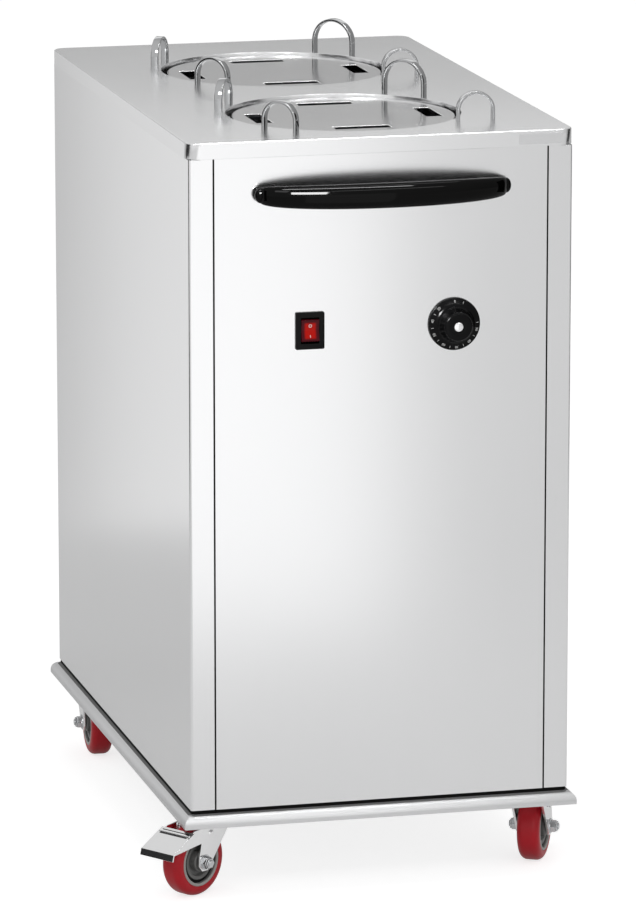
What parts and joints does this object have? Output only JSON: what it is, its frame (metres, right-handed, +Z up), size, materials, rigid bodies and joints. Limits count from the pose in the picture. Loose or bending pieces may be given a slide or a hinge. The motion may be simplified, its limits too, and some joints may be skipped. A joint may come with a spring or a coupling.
{
  "type": "heated plate dispenser cart",
  "caption": "Stainless two-well plate dispenser cart with sprung plate lifts, wire guides, bow handle, rocker switch, thermostat and swivel casters, two of them braked.",
  "frame": {"origin": "on the floor under the centre of the overall footprint", "axes": "+Z up, front with handle and controls towards -Y, +X to the right of someone facing the front from behind the handle side"},
  "size_m": [0.5779, 0.859, 0.9879],
  "materials": {
    "stainless": "satin",
    "mirror_steel": "polished",
    "zinc_steel": "zinc plated",
    "chrome_steel": "bright plated",
    "spring_steel": "drawn wire",
    "black_gloss": "gloss",
    "black_matte": "satin",
    "red_lens": "gloss",
    "red_tread": "satin",
    "heater_sheath": "heat tinted"
  },
  "bodies": {
    "cabinet": {"base_tray": "stainless", "side_panel_left": "stainless", "side_panel_right": "stainless", "front_panel": "stainless", "rear_panel": "stainless", "top_cover": "stainless", "corner_posts": "zinc_steel", "upper_rails": "zinc_steel", "upper_frame_front": "zinc_steel", "lower_frame_front": "zinc_steel", "plate_guide_front_left": "chrome_steel", "plate_guide_front_near": "chrome_steel", "plate_guide_front_right": "chrome_steel", "plate_guide_front_far": "chrome_steel", "slide_rods_front": "chrome_steel", "springs_front": "spring_steel", "heater_front": "heater_sheath", "upper_frame_rear": "zinc_steel", "lower_frame_rear": "zinc_steel", "plate_guide_rear_left": "chrome_steel", "plate_guide_rear_near": "chrome_steel", "plate_guide_rear_right": "chrome_steel", "plate_guide_rear_far": "chrome_steel", "slide_rods_rear": "chrome_steel", "springs_rear": "spring_steel", "heater_rear": "heater_sheath", "caster_plates": "chrome_steel", "caster_bolts": "zinc_steel", "front_handle": "black_gloss", "handle_screws": "zinc_steel", "switch_housing": "black_matte", "thermostat": "zinc_steel", "badge_plate": "stainless", "cable_inlet": "black_matte"},
    "lift_front": {"platform_front": "mirror_steel", "carrier_front": "zinc_steel"},
    "lift_rear": {"platform_rear": "mirror_steel", "carrier_rear": "zinc_steel"},
    "swivel_front_left": {"caster_fork_front_left": "chrome_steel", "caster_axle_front_left": "zinc_steel"},
    "wheel_front_left": {"caster_wheel_front_left": "red_tread"},
    "brake_front_left": {"brake_pedal_front_left": "chrome_steel"},
    "swivel_front_right": {"caster_fork_front_right": "chrome_steel", "caster_axle_front_right": "zinc_steel"},
    "wheel_front_right": {"caster_wheel_front_right": "red_tread"},
    "brake_front_right": {"brake_pedal_front_right": "chrome_steel"},
    "swivel_rear_left": {"caster_fork_rear_left": "chrome_steel", "caster_axle_rear_left": "zinc_steel"},
    "wheel_rear_left": {"caster_wheel_rear_left": "red_tread"},
    "swivel_rear_right": {"caster_fork_rear_right": "chrome_steel", "caster_axle_rear_right": "zinc_steel"},
    "wheel_rear_right": {"caster_wheel_rear_right": "red_tread"},
    "rocker": {"switch_rocker": "red_lens"},
    "knob": {"thermostat_knob": "black_matte"}
  },
  "joints": [
    {"name": "lift_slide_front", "type": "slide", "parent": "cabinet", "child": "lift_front", "axis": [0, 0, 1], "range_m": [-0.4, 0], "stiffness_N_per_m": 530, "springref_m": 0.1, "deforming": ["springs_front"]},
    {"name": "lift_slide_rear", "type": "slide", "parent": "cabinet", "child": "lift_rear", "axis": [0, 0, 1], "range_m": [-0.4, 0], "stiffness_N_per_m": 530, "springref_m": 0.1, "deforming": ["springs_rear"]},
    {"name": "swivel_front_left", "type": "hinge", "parent": "cabinet", "child": "swivel_front_left", "pos_m": [-0.19093, -0.328, 0.1], "axis": [0, 0, 1], "continuous": true},
    {"name": "wheel_spin_front_left", "type": "hinge", "parent": "swivel_front_left", "child": "wheel_front_left", "pos_m": [-0.21888, -0.34736, 0.044], "axis": [-0.5693, 0.8221, 0], "continuous": true},
    {"name": "brake_press_front_left", "type": "hinge", "parent": "swivel_front_left", "child": "brake_front_left", "pos_m": [-0.2123, -0.3428, 0.08], "axis": [0.5693, -0.8221, 0], "range_deg": [0, 8]},
    {"name": "swivel_front_right", "type": "hinge", "parent": "cabinet", "child": "swivel_front_right", "pos_m": [0.21707, -0.328, 0.1], "axis": [0, 0, 1], "continuous": true},
    {"name": "wheel_spin_front_right", "type": "hinge", "parent": "swivel_front_right", "child": "wheel_front_right", "pos_m": [0.23329, -0.29812, 0.044], "axis": [0.8788, -0.4772, 0], "continuous": true},
    {"name": "brake_press_front_right", "type": "hinge", "parent": "swivel_front_right", "child": "brake_front_right", "pos_m": [0.22948, -0.30515, 0.08], "axis": [-0.8788, 0.4772, 0], "range_deg": [0, 8]},
    {"name": "swivel_rear_left", "type": "hinge", "parent": "cabinet", "child": "swivel_rear_left", "pos_m": [-0.19093, 0.372, 0.1], "axis": [0, 0, 1], "continuous": true},
    {"name": "wheel_spin_rear_left", "type": "hinge", "parent": "swivel_rear_left", "child": "wheel_rear_left", "pos_m": [-0.19212, 0.33802, 0.044], "axis": [-0.9994, 0.0349, 0], "continuous": true},
    {"name": "swivel_rear_right", "type": "hinge", "parent": "cabinet", "child": "swivel_rear_right", "pos_m": [0.21707, 0.372, 0.1], "axis": [0, 0, 1], "continuous": true},
    {"name": "wheel_spin_rear_right", "type": "hinge", "parent": "swivel_rear_right", "child": "wheel_rear_right", "pos_m": [0.24652, 0.389, 0.044], "axis": [0.5, -0.866, 0], "continuous": true},
    {"name": "rocker_tilt", "type": "hinge", "parent": "cabinet", "child": "rocker", "pos_m": [-0.07693, -0.3705, 0.707], "axis": [1, 0, 0], "range_deg": [0, 14]},
    {"name": "knob_turn", "type": "hinge", "parent": "cabinet", "child": "knob", "pos_m": [0.10407, -0.3755, 0.707], "axis": [0, 1, 0], "range_deg": [0, 270]}
  ]
}
